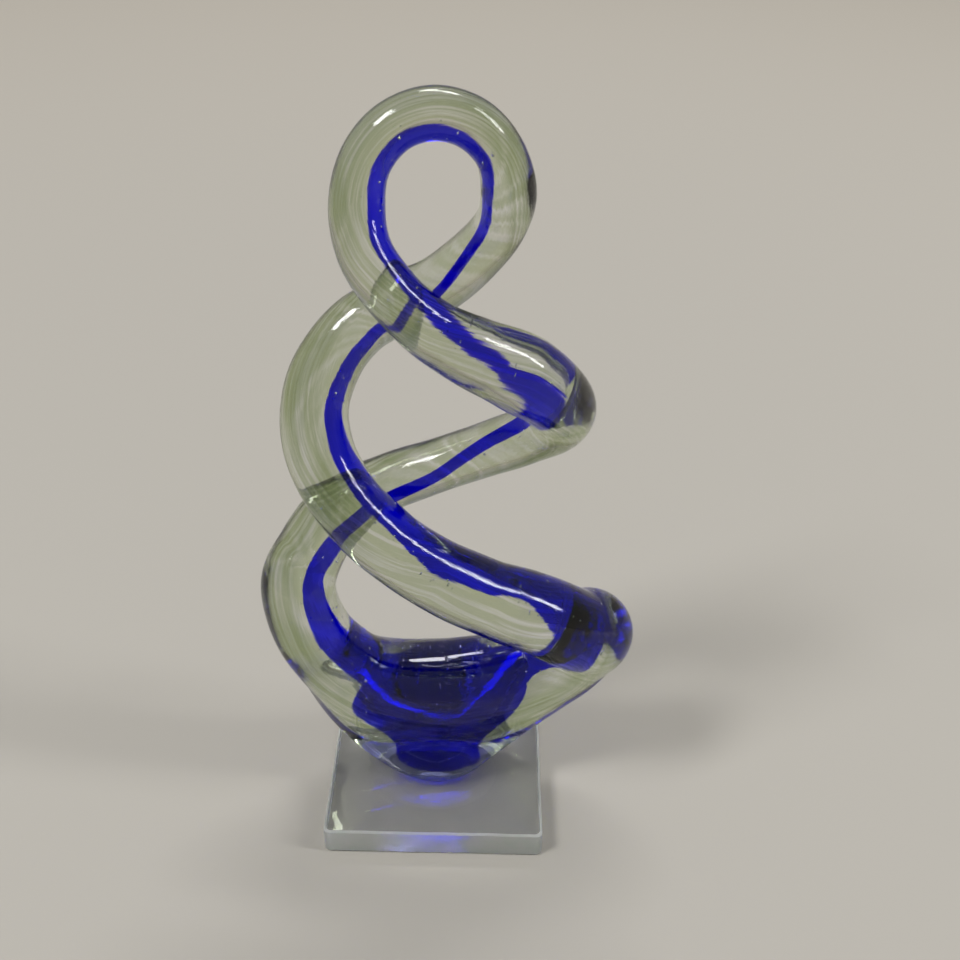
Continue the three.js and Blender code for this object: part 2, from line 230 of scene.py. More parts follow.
# Plate glass and its ground edge
PLATE_TINT = (0.96, 0.985, 0.975)
PLATE_DUST_TINT = (0.99, 1, 0.995)
PLATE_DUST = (120.0, 6.0)
DUST_NOISE = (0.55, 0.8)
DUST_ROUGHNESS = 0.08
PLATE_SCRATCHES = (1.0, 2.0)
SCRATCH_STRETCH = (40, 900, 40)
SCRATCH_BUMP = (0.08, 0.02 * MM)
EDGE_TINT = (0.86, 0.93, 0.88)
EDGE_PALE_TINT = (0.97, 0.985, 0.975)
EDGE_TRANSMISSION = 0.65
EDGE_ROUGHNESS = (0.35, 0.6)
EDGE_WAVES = (160.0, 3.0)
EDGE_MARKS = (1400.0, 2.0)
EDGE_MARK_SHARE = 0.15
EDGE_BUMP = (0.2, 0.2 * MM)

# Skin of the bubbles
BUBBLE_TINT = (0.8, 0.83, 0.88)
BUBBLE_CELLS = (900.0, 2.0)
BUBBLE_ROUGHNESS = (0.05, 0.25)

# Studio
FLOOR_RADIUS = 6
FLOOR_SEGMENTS = 96
FLOOR_GAP = 0.2 * MM
FLOOR_COLOUR = (0.48, 0.455, 0.41)
FLOOR_FAR_COLOUR = (0.9, 0.82, 0.7)
FLOOR_NEAR = 0.12
FLOOR_FAR = 3.2
FLOOR_ROUGHNESS = 0.9
WORLD_HORIZON = (0.4, 0.37, 0.32)
WORLD_MIDDLE = (0.3, 0.3, 0.28)
WORLD_MIDDLE_HEIGHT = 0.35
WORLD_TOP = (0.35, 0.35, 0.36)
LIGHT_BOUNCES = 32

# Softboxes: name, place, size and power in watts. All face one target.
SOFTBOX_TARGET = (0, 0, 0.15)
SOFTBOXES = (
    ("key", (-1.1, -0.7, 1.9), (0.45, 0.6), 21),
    ("fill", (1.5, -0.3, 1.2), (0.2, 1.0), 10.5),
    ("back", (0.2, 1.1, 2.1), (1.2, 0.25), 14.5),
)

# Camera, fitted to the plate's corners and the foot's rim in the photograph
CAMERA_PLACE = (18 * MM, -378 * MM, 402 * MM)
CAMERA_PITCH = math.radians(33.2)
CAMERA_YAW = math.radians(-0.2)
CAMERA_ROLL = math.radians(1.0)
CAMERA_LENS = 45
CAMERA_SENSOR = 36


# Route of the rope

def cubic_blend(stops, rows, at):
    """A smooth curve through rows of values at increasing stops."""
    upper = min(max(1, int(np.searchsorted(stops, at, side="right"))), len(stops) - 1)
    lower = upper - 1
    before = lower - 1 if lower > 0 else upper
    after = upper + 1 if upper + 1 < len(stops) else lower
    start, end = stops[lower], stops[upper]
    gap_before = start - stops[before] if lower > 0 else end - start
    gap_after = stops[after] - end if upper + 1 < len(stops) else end - start
    weight_before = 0.5 * (end - start) / gap_before
    weight_after = 0.5 * (end - start) / gap_after
    p = (at - start) / (end - start)
    share_before = -weight_before * p ** 3 + 2 * weight_before * p ** 2 - weight_before * p
    share_start = (1 + weight_before) * p ** 3 - (1.5 + 2 * weight_before) * p ** 2
    share_start += (weight_before - 0.5) * p + 1
    share_end = -(1 + weight_after) * p ** 3 + (1.5 + weight_after) * p ** 2 + 0.5 * p
    share_after = weight_after * p ** 3 - weight_after * p ** 2
    return (share_before * rows[before] + share_start * rows[lower]
            + share_end * rows[upper] + share_after * rows[after])


def strand(rows):
    """One strand from the top eye down to its arm, from rows of phase, reach, height, rope, core, how far
    up the core faces and how deep it lies. Phase 0 is left, 90 front and 180 right."""
    phases = [row[0] for row in rows]
    values = [np.array(row[1:]) for row in rows]
    steps = round((phases[-1] - phases[0]) / WINDING_STEP)
    stations = []
    for phase in np.linspace(phases[0], phases[-1], steps + 1):
        reach, height, *section = cubic_blend(phases, values, phase)
        angle = math.radians(phase)
        place = (-reach * math.cos(angle), -CROSSING_DEPTH * math.sin(angle), height)
        stations.append((*place, *section))
    return stations


def row_between(phase, upper, lower, lift, own=None):
    """The row halfway between two others, but for its lift and what it gives itself."""
    reach, height, rope, core, rise, cover = (np.array(upper[1:]) + np.array(lower[1:])) / 2
    row = {"rope": rope, "core": core, "rise": rise, **(own or {})}
    return (phase, reach, height + lift, row["rope"], row["core"], row["rise"], cover)


def eye_and_flank(phase, core):
    """The rows at one side of the top eye and on the flank below it."""
    swing = TOP_EYE_REACH / math.cos(math.radians(CROWN_TURN))
    flank_height = UPPER_CROSSING_HEIGHT + (TOP_EYE_HEIGHT - UPPER_CROSSING_HEIGHT) * FLANK_SHARE
    return [
        (phase + CROWN_TURN, swing, TOP_EYE_HEIGHT, ROPE_AT_TOP_EYE, core, 0, CORE_COVER),
        (phase + 45, UPPER_FLANK_REACH, flank_height, ROPE_AT_FLANK, core, 0, CORE_COVER),
    ]


def upper_crossing(phase, rise):
    """The row at the upper crossing, where one strand is in front and the other behind."""
    place = (phase, UPPER_CROSSING_REACH, UPPER_CROSSING_HEIGHT)
    return (*place, ROPE_AT_UPPER_CROSSING, CORE_AT_UPPER_CROSSING, rise, CORE_COVER)


def left_strand():
    front = upper_crossing(90, CORE_RISE_AT_CROSSING)
    right_place = (180, MIDDLE_RIGHT_REACH, MIDDLE_EYE_HEIGHT)
    right = (*right_place, ROPE_AT_MIDDLE_RIGHT, CORE_AT_MIDDLE_RIGHT, CORE_RISE_AT_RIGHT, CORE_COVER)
    back_place = (270, LOWER_CROSSING_REACH, LOWER_CROSSING_BACK_HEIGHT)
    back = (*back_place, ROPE_AT_LOWER_BACK, CORE_AT_LOWER_BACK, 0, CORE_COVER)
    arm_place = (360, LEFT_ARM_REACH, LEFT_ARM_HEIGHT)
    arm = (*arm_place, ROPE_AT_LEFT_ARM, CORE_AT_LEFT_ARM, 0, COVER_AT_LEFT_ARM)
    swollen = {"rope": ROPE_AT_UPPER_FRONT, "core": CORE_AT_UPPER_FRONT, "rise": CORE_RISE_AT_FRONT}
    swell = row_between(135, front, right, UPPER_FRONT_LIFT, swollen)
    turn = row_between(315, back, arm, LEFT_TURN_LIFT)
    return strand([*eye_and_flank(0, CORE_AT_TOP_LEFT), front, swell, right, back, turn, arm])


def right_strand():
    back = upper_crossing(270, 0)
    left_place = (360, MIDDLE_LEFT_REACH, MIDDLE_EYE_HEIGHT)
    left = (*left_place, ROPE_AT_MIDDLE_LEFT, CORE_AT_MIDDLE_LEFT, 0, COVER_AT_MIDDLE_LEFT)
    front_place = (450, LOWER_CROSSING_REACH, LOWER_CROSSING_FRONT_HEIGHT)
    front = (*front_place, ROPE_AT_LOWER_FRONT, CORE_AT_LOWER_FRONT, 0, CORE_COVER)
    arm_place = (540, RIGHT_ARM_REACH, RIGHT_ARM_HEIGHT)
    arm = (*arm_place, ROPE_AT_RIGHT_ARM, CORE_AT_RIGHT_ARM, 0, CORE_COVER)
    turn = row_between(315, back, left, LEFT_TURN_LIFT)
    swollen = {"rope": ROPE_AT_RIGHT_TURN, "core": CORE_AT_RIGHT_TURN}
    swell = row_between(495, front, arm, LOWER_FRONT_LIFT, swollen)
    return strand([*eye_and_flank(180, CORE_AT_TOP_RIGHT), back, turn, left, front, swell, arm])


def crown():
    """The fold at the crown: a half ellipse from the right side of the top eye to its left side, which
    comes forwards evenly on the way."""
    lean = CROSSING_DEPTH * math.sin(math.radians(CROWN_TURN))
    stations = []
    for degrees in HALF_ELLIPSE_ANGLES:
        across = math.cos(math.radians(degrees))
        up = math.sin(math.radians(degrees))
        place = (TOP_EYE_REACH * across, lean * (1 - degrees / 90), TOP_EYE_HEIGHT + CROWN_HEIGHT * up)
        core = CORE_AT_TOP_RIGHT + (CORE_AT_TOP_LEFT - CORE_AT_TOP_RIGHT) * degrees / 180
        stations.append((*place, ROPE_AT_CROWN, core, 0, CORE_COVER))
    return stations


def saddle():
    """The bend in the foot: a half ellipse from the left arm through the saddle to the right arm."""
    left_place = (LEFT_ARM_REACH, LEFT_ARM_HEIGHT, LEFT_ARM_SWING)
    left = (*left_place, ROPE_AT_LEFT_ARM, CORE_AT_LEFT_ARM, COVER_AT_LEFT_ARM)
    right_place = (RIGHT_ARM_REACH, RIGHT_ARM_HEIGHT, RIGHT_ARM_SWING)
    right = (*right_place, ROPE_AT_RIGHT_ARM, CORE_AT_RIGHT_ARM, CORE_COVER)
    stations = []
    for degrees in HALF_ELLIPSE_ANGLES:
        angle = math.radians(degrees)
        share = math.sin(angle)
        reach, height, swing, rope, core, cover = left if degrees < 90 else right
        x = -reach * math.cos(angle)
        y = FOOT_SETBACK * share + swing * abs(math.sin(2 * angle))
        z = height + (SADDLE_HEIGHT - height) * share
        rope += (ROPE_AT_SADDLE - rope) * share
        core += (CORE_AT_SADDLE - core) * share
        cover += (COVER_AT_SADDLE - cover) * share
        stations.append((x, y, z, rope, core, 0, cover))
    return stations


def closed_curve(points, weights, power):
    """A closed Catmull-Rom curve: each stretch between two points, at the given weights. Power 0.5
    makes it centripetal and 0 uniform."""
    stretches = []
    count = len(points)
    for i in range(count):
        a, b, c, d = (points[(i + k) % count] for k in (-1, 0, 1, 2))
        knots = np.cumsum([0.0] + [np.linalg.norm(q - p) ** power for p, q in ((a, b), (b, c), (c, d))])
        t = (knots[1] + (knots[2] - knots[1]) * weights)[:, None]
        ab = a + (b - a) * (t - knots[0]) / (knots[1] - knots[0])
        bc = b + (c - b) * (t - knots[1]) / (knots[2] - knots[1])
        cd = c + (d - c) * (t - knots[2]) / (knots[3] - knots[2])
        abc = ab + (bc - ab) * (t - knots[0]) / (knots[2] - knots[0])
        bcd = bc + (cd - bc) * (t - knots[1]) / (knots[3] - knots[1])
        stretches.append(abc + (bcd - abc) * (t - knots[1]) / (knots[2] - knots[1]))
    return np.concatenate(stretches)


def around(values):
    """The change from each row's neighbour before to its neighbour after, on a closed route."""
    return np.roll(values, -1, axis=0) - np.roll(values, 1, axis=0)


def unit(vectors):
    return vectors / np.linalg.norm(vectors, axis=1, keepdims=True)


class Route:
    """The rope's route as close-set samples: places above the foot, directions, radii and lengths."""

    def __init__(self):
        stations = np.array(crown() + left_strand() + saddle() + right_strand()[::-1])
        weights = np.arange(STEPS_PER_STATION) / STEPS_PER_STATION
        self.places = closed_curve(stations[:, :3], weights, 0.5)
        sections = closed_curve(stations[:, 3:], weights, 0.0)
        self.tangents = unit(around(self.places))
        steps = np.linalg.norm(np.roll(self.places, -1, axis=0) - self.places, axis=1)
        self.lengths = np.cumsum(steps) - steps
        self.total = steps.sum()
        swell = 1.0
        for waves, share in zip(SWELL_WAVES, SWELL_SHARES):
            swell = swell + share * np.sin(2 * math.pi * waves * self.lengths / self.total + waves)
        self.rope = sections[:, 0] * swell
        self.core = sections[:, 1]
        hearts = np.zeros_like(self.places)
        faced = self.places[:, 2] + sections[:, 2]
        hearts[:, 2] = np.clip(faced, LOWER_CROSSING_FRONT_HEIGHT, TOP_EYE_HEIGHT)
        across = hearts - self.places
        across -= self.tangents * np.sum(across * self.tangents, axis=1, keepdims=True)
        self.inward = unit(across)
        self.beside = np.cross(self.tangents, self.inward)
        inset = self.rope - sections[:, 3] - self.core
        self.core_places = self.places + self.inward * inset[:, None]
        self.fold = int(np.argmax(self.places[:, 0]))


# Distance fields. Each gives the signed distance of points to a form and the direction away from it.

class TubeField:
    """A round tube along close-set places, from the first to the last."""

    def __init__(self, places, radii):
        steps = np.linalg.norm(np.diff(places, axis=0), axis=1)
        lengths = np.concatenate([[0], np.cumsum(steps)])
        self.places = places
        self.radii = radii
        self.tangents = unit(np.gradient(places, lengths, axis=0))
        self.bends = np.gradient(self.tangents, lengths, axis=0)
        self.slopes = np.gradient(radii, lengths)
        self.step = steps.max()

    def nearest(self, points):
        """The index of the sample whose ball comes nearest to each point."""
        found = np.empty(len(points), int)
        squares = np.sum(self.places ** 2, axis=1)
        for start in range(0, len(points), CHUNK):
            part = points[start:start + CHUNK]
            gaps = np.sum(part ** 2, axis=1)[:, None] + squares - 2 * part @ self.places.T
            found[start:start + CHUNK] = np.argmin(np.sqrt(np.maximum(gaps, 0)) - self.radii, axis=1)
        return found

    def __call__(self, points):
        index = self.nearest(points)
        tangents = self.tangents[index]
        bends = self.bends[index]
        gaps = points - self.places[index]
        slide = np.zeros(len(points))
        for _ in range(NEAREST_ROUNDS):
            foot = tangents * slide[:, None] + 0.5 * bends * slide[:, None] ** 2
            heading = tangents + bends * slide[:, None]
            miss = np.sum((gaps - foot) * heading, axis=1)
            rate = np.maximum(1 - np.sum((gaps - foot) * bends, axis=1), LEAST_RATE)
            slide = np.clip(slide + miss / rate, -self.step, self.step)
        out = gaps - tangents * slide[:, None] - 0.5 * bends * slide[:, None] ** 2
        reach = np.linalg.norm(out, axis=1)
        away = out / np.maximum(reach, 1e-9)[:, None] - tangents * self.slopes[index][:, None]
        return reach - self.radii[index] - self.slopes[index] * slide, unit(away)

    def fill(self, grid, values):
        """Lowers the values on a grid to the distance to this tube, near the tube."""
        margin = FILL_MARGIN * grid.pitch
        for place, radius in zip(self.places, self.radii):
            low, high = grid.window(place - radius - margin, place + radius + margin)
            x, y, z = (grid.axes[k][low[k]:high[k]] - place[k] for k in range(3))
            reach = np.sqrt(x[:, None, None] ** 2 + y[None, :, None] ** 2 + z[None, None, :] ** 2)
            part = values[low[0]:high[0], low[1]:high[1], low[2]:high[2]]
            np.minimum(part, reach - radius, out=part)


class SpreadField:
    """A form that is round below and spreads to a flat oval above, as a web between two arms."""

    def __init__(self, height, foot_radius, left, right, half_depth, rounding):
        """Left and right are each a reach at the top and a power: the lower, the fuller the side below."""
        self.height = height
        self.foot_radius = foot_radius
        self.left_reach, self.left_power = left
        self.right_reach, self.right_power = right
        self.half_depth = half_depth
        self.rounding = rounding

    def value(self, points):
        x = points[..., 0]
        y = points[..., 1] - FOOT_SETBACK
        z = points[..., 2]
        share = np.clip(z / self.height, 0, 1)
        ease = np.sin(share * math.pi / 2)
        reach = np.where(x < 0, self.left_reach, self.right_reach)
        power = np.where(x < 0, self.left_power, self.right_power)
        width = self.foot_radius + (reach - self.foot_radius) * ease ** power
        depth = self.foot_radius + (self.half_depth - self.foot_radius) * share
        scaled = np.maximum(np.hypot(x / width, y / depth), 1e-6)
        steepness = np.maximum(np.hypot(x / width ** 2, y / depth ** 2), 1e-3) / scaled
        side = (scaled - 1) / steepness
        top = z - self.height
        share = np.clip(0.5 + 0.5 * (side - top) / self.rounding, 0, 1)
        return top + (side - top) * share + self.rounding * share * (1 - share)

    def __call__(self, points):
        axes = np.eye(3) * SLOPE_STEP
        slopes = [self.value(points + axis) - self.value(points - axis) for axis in axes]
        return self.value(points), unit(np.stack(slopes, axis=1) + 1e-12)

    def fill(self, grid, values):
        """Lowers the values on a grid to the distance to this form."""
        top = np.searchsorted(grid.axes[2], self.height + 2 * grid.pitch)
        axes = (grid.axes[0], grid.axes[1], grid.axes[2][:top])
        points = np.stack(np.meshgrid(*axes, indexing="ij"), axis=-1)
        np.minimum(values[:, :, :top], self.value(points), out=values[:, :, :top])


def melt(first, second, size):
    """The smooth union of two forms, each a distance and a direction, melted together over a size."""
    a, away_a = first
    b, away_b = second
    share = np.clip(0.5 + 0.5 * (b - a) / size, 0, 1)
    value = b + (a - b) * share - size * share * (1 - share)
    return value, unit(away_a * share[:, None] + away_b * (1 - share)[:, None])


def cut_below(form, heights, level, rounding):
    """A form that ends flat at a level, with a rounded rim."""
    value, away = form
    plane = level - heights
    share = np.clip(0.5 + 0.5 * (value - plane) / rounding, 0, 1)
    blend = plane + (value - plane) * share + rounding * share * (1 - share)
    return blend, unit(away * share[:, None] + np.array([0, 0, -1]) * (1 - share)[:, None])


class KnotField:
    """The knot as two runs of tube that meet at the crown and at the right arm's fold, melted into a
    spread foot that is cut flat."""

    def __init__(self, route, places, radii, spread, spread_melt, level):
        loop = np.concatenate([places, places[:1]])
        loop_radii = np.concatenate([radii, radii[:1]])
        self.runs = [
            TubeField(loop[:route.fold + 1], loop_radii[:route.fold + 1]),
            TubeField(loop[route.fold:], loop_radii[route.fold:]),
        ]
        self.fold_place = places[route.fold]
        self.spread = spread
        self.spread_melt = spread_melt
        self.level = level

    def __call__(self, points):
        distance = np.linalg.norm(points - self.fold_place, axis=1)
        closeness = np.clip(2 * (1 - distance / FOLD_REACH), 0, 1)
        rope = melt(self.runs[0](points), self.runs[1](points), LEAST_MELT + FOLD_MELT * closeness)
        whole = melt(rope, self.spread(points), self.spread_melt)
        return cut_below(whole, points[:, 2], self.level, RIM_ROUNDING)

    def on_grid(self, grid):
        """Rough distances on a grid, good near the surface."""
        values = np.full(grid.shape, 1.0)
        for form in (*self.runs, self.spread):
            form.fill(grid, values)
        return np.maximum(values, self.level - grid.axes[2])


# Meshing

class Grid:
    """A block of evenly spaced points that covers the knot."""

    def __init__(self, route, pitch):
        margin = route.rope.max() + GRID_MARGIN * pitch
        low = route.places.min(axis=0) - margin
        high = route.places.max(axis=0) + margin
        low[2] = -GRID_BELOW * pitch
        self.pitch = pitch
        self.axes = [np.arange(low[k], high[k] + pitch, pitch) for k in range(3)]
        self.low = low
        self.shape = tuple(len(axis) for axis in self.axes)

    def window(self, low, high):
        """The first and last index, along each axis, of the points between two corners."""
        first = np.maximum(np.floor((low - self.low) / self.pitch).astype(int), 0)
        last = np.minimum(np.ceil((high - self.low) / self.pitch).astype(int) + 1, self.shape)
        return first, last


def surface_net(grid, values):
    """Vertices and quads of the surface where the grid's values change sign: one vertex in each cell
    that the surface passes through, and one quad across each grid edge that it cuts."""
    inside = values < 0
    cells = tuple(n - 1 for n in grid.shape)
    sums = np.zeros((*cells, 3))
    counts = np.zeros(cells)
    crossings = []
    for axis in range(3):
        ahead = np.roll(inside, -1, axis=axis)
        cut = inside != ahead
        cut[tuple(-1 if k == axis else slice(None) for k in range(3))] = False
        nodes = np.argwhere(cut)
        step = np.eye(3, dtype=int)[axis]
        start = values[tuple(nodes.T)]
        end = values[tuple((nodes + step).T)]
        places = nodes + step * (start / (start - end))[:, None]
        side, up = (np.eye(3, dtype=int)[(axis + k) % 3] for k in (1, 2))
        corners = [nodes - side - up, nodes - up, nodes, nodes - side]
        for corner in corners:
            np.add.at(sums, tuple(corner.T), places)
            np.add.at(counts, tuple(corner.T), 1)
        crossings.append((corners, start < 0))
    used = counts > 0
    numbers = np.full(cells, -1)
    numbers[used] = np.arange(used.sum())
    vertices = grid.low + grid.pitch * sums[used] / counts[used][:, None]
    quads = []
    for corners, outward in crossings:
        ring = np.stack([numbers[tuple(corner.T)] for corner in corners], axis=1)
        quads.append(np.where(outward[:, None], ring, ring[:, ::-1]))
    return vertices, np.concatenate(quads)


def settle(vertices, field):
    """Moves vertices onto the field's surface, and gives the surface's directions there."""
    for _ in range(SETTLE_ROUNDS):
        value, away = field(vertices)
        vertices = vertices - away * value[:, None]
    return vertices, field(vertices)[1]


def add_object(name, data):
    """A new object in the scene."""
    added = bpy.data.objects.new(name, data)
    bpy.context.scene.collection.objects.link(added)
    return added


def built_mesh(name, builder):
    """A mesh of what the builder holds, which is then freed."""
    mesh = bpy.data.meshes.new(name)
    builder.to_mesh(mesh)
    builder.free()
    return mesh


def knot_mesh(name, route, field, pitch):
    """An object with the surface of a field, in the part's frame."""
    grid = Grid(route, pitch)
    vertices, quads = surface_net(grid, field.on_grid(grid))
    vertices, normals = settle(vertices, field)
    vertices[:, 2] += FOOT_LEVEL
    mesh = bpy.data.meshes.new(name)
    mesh.from_pydata(vertices.tolist(), [], quads.tolist())
    mesh.shade_smooth()
    mesh.normals_split_custom_set_from_vertices(normals.tolist())
    return add_object(name, mesh)


# Materials

def add_node(tree, kind, inputs=None, **properties):
    """Adds a node with its properties. An input is a value, or another node's output to link."""
    node = tree.nodes.new(kind)
    for name, value in properties.items():
        setattr(node, name, value)
    for name, value in (inputs or {}).items():
        if isinstance(value, bpy.types.NodeSocket):
            tree.links.new(value, node.inputs[name])
        else:
            node.inputs[name].default_value = value
    return node


def new_material(name):
    """A material, with its node tree and shader."""
    material = bpy.data.materials.new(name)
    material.use_nodes = True
    tree = material.node_tree
    return material, tree, tree.nodes["Principled BSDF"]


def new_glass(name, ior):
    """A clear glass: its material, node tree and shader."""
    material, tree, shader = new_material(name)
    shader.inputs["Transmission Weight"].default_value = 1
    shader.inputs["IOR"].default_value = ior
    shader.inputs["Roughness"].default_value = 0
    return material, tree, shader


def object_place(tree):
    return add_node(tree, "ShaderNodeTexCoord").outputs["Object"]


def drawn_place(tree):
    """The place along and around the rope."""
    return add_node(tree, "ShaderNodeAttribute", attribute_name="draw").outputs["Vector"]


def stretch(tree, vector, scale):
    return add_node(tree, "ShaderNodeMapping", {"Vector": vector, "Scale": scale}).outputs["Vector"]


def one_axis(tree, vector, axis):
    return add_node(tree, "ShaderNodeSeparateXYZ", {"Vector": vector}).outputs[axis]


def noise(tree, vector, scale, detail):
    inputs = {"Vector": vector, "Scale": scale, "Detail": detail}
    return add_node(tree, "ShaderNodeTexNoise", inputs).outputs["Fac"]


def calculate(tree, operation, first, second):
    return add_node(tree, "ShaderNodeMath", {0: first, 1: second}, operation=operation).outputs["Value"]


def ramp(tree, value, low, high, start=NOISE_MIDDLE[0], end=NOISE_MIDDLE[1]):
    """A value taken from a span, which is the middle of a noise unless it is given, to a range."""
    inputs = {"Value": value, "From Min": start, "From Max": end, "To Min": low, "To Max": high}
    return add_node(tree, "ShaderNodeMapRange", inputs).outputs["Result"]


def blend_colours(tree, share, first, second):
    mix = add_node(tree, "ShaderNodeMix", data_type="RGBA")
    tree.links.new(share, mix.inputs["Factor"])
    mix.inputs["A"].default_value = (*first, 1)
    mix.inputs["B"].default_value = (*second, 1)
    return mix.outputs["Result"]


def add_bump(tree, shader, height, strength, distance):
    inputs = {"Height": height, "Strength": strength, "Distance": distance}
    node = add_node(tree, "ShaderNodeBump", inputs)
    tree.links.new(node.outputs["Normal"], shader.inputs["Normal"])


def casing_glass():
    """Fire-polished clear glass with lines along the way it was drawn, a few smudges, and a rim that is
    frosted where the foot was ground. Its olive tint is a painted reflection of green surroundings, which
    fades to near clear in streaks and on the rope's inner side, over the core, where it is palest."""
    material, tree, shader = new_glass("clear_glass", CLEAR_IOR)
    draw = drawn_place(tree)
    place = object_place(tree)
    lines = noise(tree, stretch(tree, draw, CLEAR_LINE_STRETCH), *CLEAR_LINES)
    add_bump(tree, shader, lines, *CLEAR_BUMP)
    smudged = ramp(tree, noise(tree, place, *SMUDGES), 0, SMUDGE_ROUGHNESS, *SMUDGE_NOISE)
    ground_span = (FOOT_LEVEL + GROUND_HEIGHT / 3, FOOT_LEVEL + GROUND_HEIGHT)
    ground = ramp(tree, one_axis(tree, place, "Z"), GROUND_ROUGHNESS, 0, *ground_span)
    rough = calculate(tree, "MAXIMUM", smudged, ground)
    tree.links.new(rough, shader.inputs["Roughness"])
    # Painted reflection: olive where this mask is low, faded away in streaks and on the inner side over
    # the core
    inner = ramp(tree, one_axis(tree, draw, "Y"), 0, 1, *INNER_SIDE)
    streak = ramp(tree, lines, 0, 1, *STREAK_NOISE)
    painted_reflection_fade = calculate(tree, "MAXIMUM", streak, inner)
    tint = blend_colours(tree, painted_reflection_fade, CLEAR_PAINTED_REFLECTION, CLEAR_STREAK)
    tree.links.new(tint, shader.inputs["Base Color"])
    return material


def bonded_face_painted_shade():
    """A face in optical contact, where light passes straight from glass through adhesive to glass. Its
    blue-grey blotchy tint is painted shade, which darkens the view down through the foot.
    """
    material, tree, shader = new_glass("bonded_face_painted_shade", BONDED_IOR)
    shade_blotches = noise(tree, object_place(tree), *BOND_SHADE_BLOTCHES)
    # Painted shade, in blotches, laid on at each crossing of a bonded face
    tint = blend_colours(tree, ramp(tree, shade_blotches, 0, 1), *BOND_PAINTED_SHADE_TINTS)
    tree.links.new(tint, shader.inputs["Base Color"])
    return material


def cobalt_glass():
    """Cobalt glass fused into clear glass of the same index, so it shows only by what it absorbs."""
    material, tree, shader = new_glass("cobalt_glass", BONDED_IOR)
    streaks = noise(tree, drawn_place(tree), *COBALT_LINES)
    tint = blend_colours(tree, ramp(tree, streaks, 0, 1), COBALT_STREAK, WHITE)
    tree.links.new(tint, shader.inputs["Base Color"])
    inputs = {"Color": (*COBALT_COLOUR, 1), "Density": COBALT_DENSITY}
    volume = add_node(tree, "ShaderNodeVolumeAbsorption", inputs)
    output = tree.nodes["Material Output"]
    tree.links.new(volume.outputs["Volume"], output.inputs["Volume"])
    return material


def plate_glass():
    """Polished plate glass with a few fine scratches and a trace of dust."""
    material, tree, shader = new_glass("plate_glass", CLEAR_IOR)
    place = object_place(tree)
    dust = noise(tree, place, *PLATE_DUST)
    dusty = ramp(tree, dust, 0, DUST_ROUGHNESS, *DUST_NOISE)
    tree.links.new(dusty, shader.inputs["Roughness"])
    scratches = noise(tree, stretch(tree, place, SCRATCH_STRETCH), *PLATE_SCRATCHES)
    add_bump(tree, shader, scratches, *SCRATCH_BUMP)
    tint = blend_colours(tree, ramp(tree, dust, 0, 1), PLATE_TINT, PLATE_DUST_TINT)
    tree.links.new(tint, shader.inputs["Base Color"])
    return material


def ground_edge():
    """The plate's edges, ground by hand and left frosted: greener, with fine waves and grinding marks."""
    material, tree, shader = new_glass("ground_edge", CLEAR_IOR)
    shader.inputs["Transmission Weight"].default_value = EDGE_TRANSMISSION
    place = object_place(tree)
    waves = noise(tree, place, *EDGE_WAVES)
    marks = calculate(tree, "MULTIPLY", noise(tree, place, *EDGE_MARKS), EDGE_MARK_SHARE)
    add_bump(tree, shader, calculate(tree, "ADD", waves, marks), *EDGE_BUMP)
    tree.links.new(ramp(tree, waves, *EDGE_ROUGHNESS), shader.inputs["Roughness"])
    tint = blend_colours(tree, ramp(tree, waves, 0, 1), EDGE_TINT, EDGE_PALE_TINT)
    tree.links.new(tint, shader.inputs["Base Color"])
    return material


def bubble_skin():
    """A bubble in glass turns light back at its skin, so it shines like a bead of mercury."""
    material, tree, shader = new_material("seed_bubble")
    shader.inputs["Metallic"].default_value = 1
    cells = noise(tree, object_place(tree), *BUBBLE_CELLS)
    tint = blend_colours(tree, ramp(tree, cells, 0, 1), BUBBLE_TINT, WHITE)
    tree.links.new(tint, shader.inputs["Base Color"])
    tree.links.new(ramp(tree, cells, *BUBBLE_ROUGHNESS), shader.inputs["Roughness"])
    return material


# Pieces

def finish_piece(piece, materials, nodes=()):
    """Gives a piece its materials and its place on the part, and hides the parts that it stands for."""
    for material in materials:
        piece.data.materials.append(material)
    if nodes:
        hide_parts(*nodes)
    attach(piece, "root")
    return piece


def mark_draw(piece, route):
    """Stores, for each vertex, its place along the rope, in draw lengths, and its direction around it:
    inwards and beside."""
    vertices = np.empty(len(piece.data.vertices) * 3)
    piece.data.vertices.foreach_get("co", vertices)
    points = vertices.reshape(-1, 3) - (0, 0, FOOT_LEVEL)
    index = TubeField(route.places, route.rope).nearest(points)
    out = unit(points - route.places[index])
    start = route.lengths[np.argmin(route.places[:, 2])]
    along = (route.lengths[index] - start) % route.total
    values = np.stack([
        along / DRAW_LENGTH,
        np.sum(out * route.inward[index], axis=1),
        np.sum(out * route.beside[index], axis=1),
    ], axis=1)
    layer = piece.data.attributes.new("draw", "FLOAT_VECTOR", "POINT")
    layer.data.foreach_set("vector", values.astype(np.float32).ravel())


def make_casing(route, field, bonded):
    """The clear rope and foot. Its ground face, the second material, is bonded to the film."""
    casing = knot_mesh("casing", route, field, CASING_PITCH)
    mark_draw(casing, route)
    finish_piece(casing, [casing_glass(), bonded], ["clear_casing"])
    for face in casing.data.polygons:
        flat = all(casing.data.vertices[v].co.z < FOOT_LEVEL + CONTACT_GAP for v in face.vertices)
        face.material_index = 1 if flat else 0


def make_core(route, field):
    core = knot_mesh("core", route, field, CORE_PITCH)
    mark_draw(core, route)
    return finish_piece(core, [cobalt_glass()], ["cobalt_core"])


